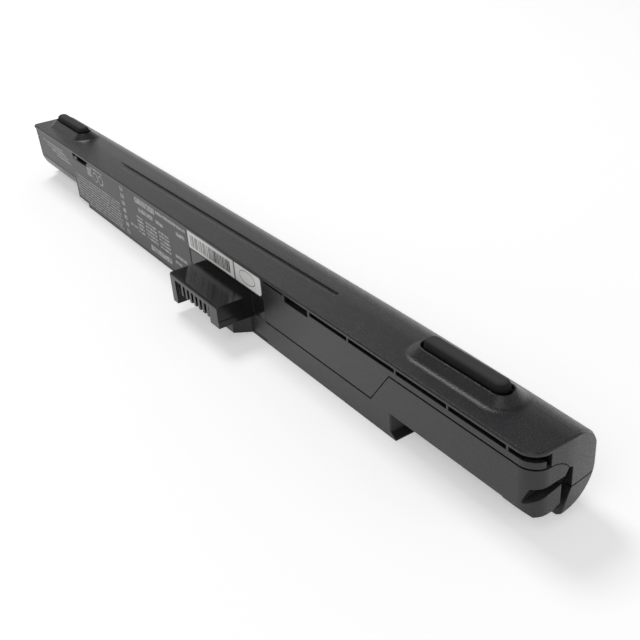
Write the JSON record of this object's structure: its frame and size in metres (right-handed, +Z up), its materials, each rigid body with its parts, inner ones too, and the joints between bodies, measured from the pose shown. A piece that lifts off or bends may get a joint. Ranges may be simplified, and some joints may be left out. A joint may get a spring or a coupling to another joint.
{
  "type": "laptop battery",
  "caption": "Slim bar-shaped laptop battery with a welded two-shell case, rubber feet on raised bosses, a slotted side connector and latch pockets.",
  "frame": {"origin": "middle of the base of the bounding box, on the surface that the flat deep bottom rests on", "axes": "+X along the pack towards its claw end, +Y from the connector side to the rounded rear face, +Z up through the lid and its feet"},
  "size_m": [0.29, 0.0322, 0.0264],
  "materials": {
    "case_plastic": "fine matte texture",
    "foot_rubber": "soft satin",
    "connector_plastic": "smooth",
    "contact_brass": "plated",
    "label_film": "satin film",
    "label_paper": "plain",
    "cell_sleeve": "shrink sleeve",
    "insulating_paper": "plain",
    "nickel_strip": "rolled",
    "foam_rubber": "closed foam",
    "board_laminate": "lacquered",
    "part_ceramic": "plain",
    "chip_plastic": "moulded"
  },
  "bodies": {
    "root": {"upper_shell": "case_plastic", "lower_shell": "case_plastic", "foot_far": "foot_rubber", "foot_near": "foot_rubber", "connector_housing": "connector_plastic", "connector_contacts": "contact_brass", "front_label": "label_film", "barcode_label": "label_paper", "plain_label": "label_paper", "cell_1": "cell_sleeve", "cell_2": "cell_sleeve", "cell_3": "cell_sleeve", "cell_4": "cell_sleeve", "insulator_ring_1": "insulating_paper", "insulator_ring_2": "insulating_paper", "insulator_ring_3": "insulating_paper", "insulator_ring_4": "insulating_paper", "link_strip_1": "nickel_strip", "link_strip_2": "nickel_strip", "link_strip_3": "nickel_strip", "minus_strip": "nickel_strip", "plus_strip": "nickel_strip", "thermal_fuse": "chip_plastic", "foam_far": "foam_rubber", "foam_near": "foam_rubber", "protection_board": "board_laminate", "gauge_chip": "chip_plastic", "monitor_chip": "chip_plastic", "power_transistors": "chip_plastic", "pack_fuse": "chip_plastic", "sense_resistor": "part_ceramic", "board_capacitors": "part_ceramic", "thermistor": "chip_plastic"}
  },
  "joints": []
}
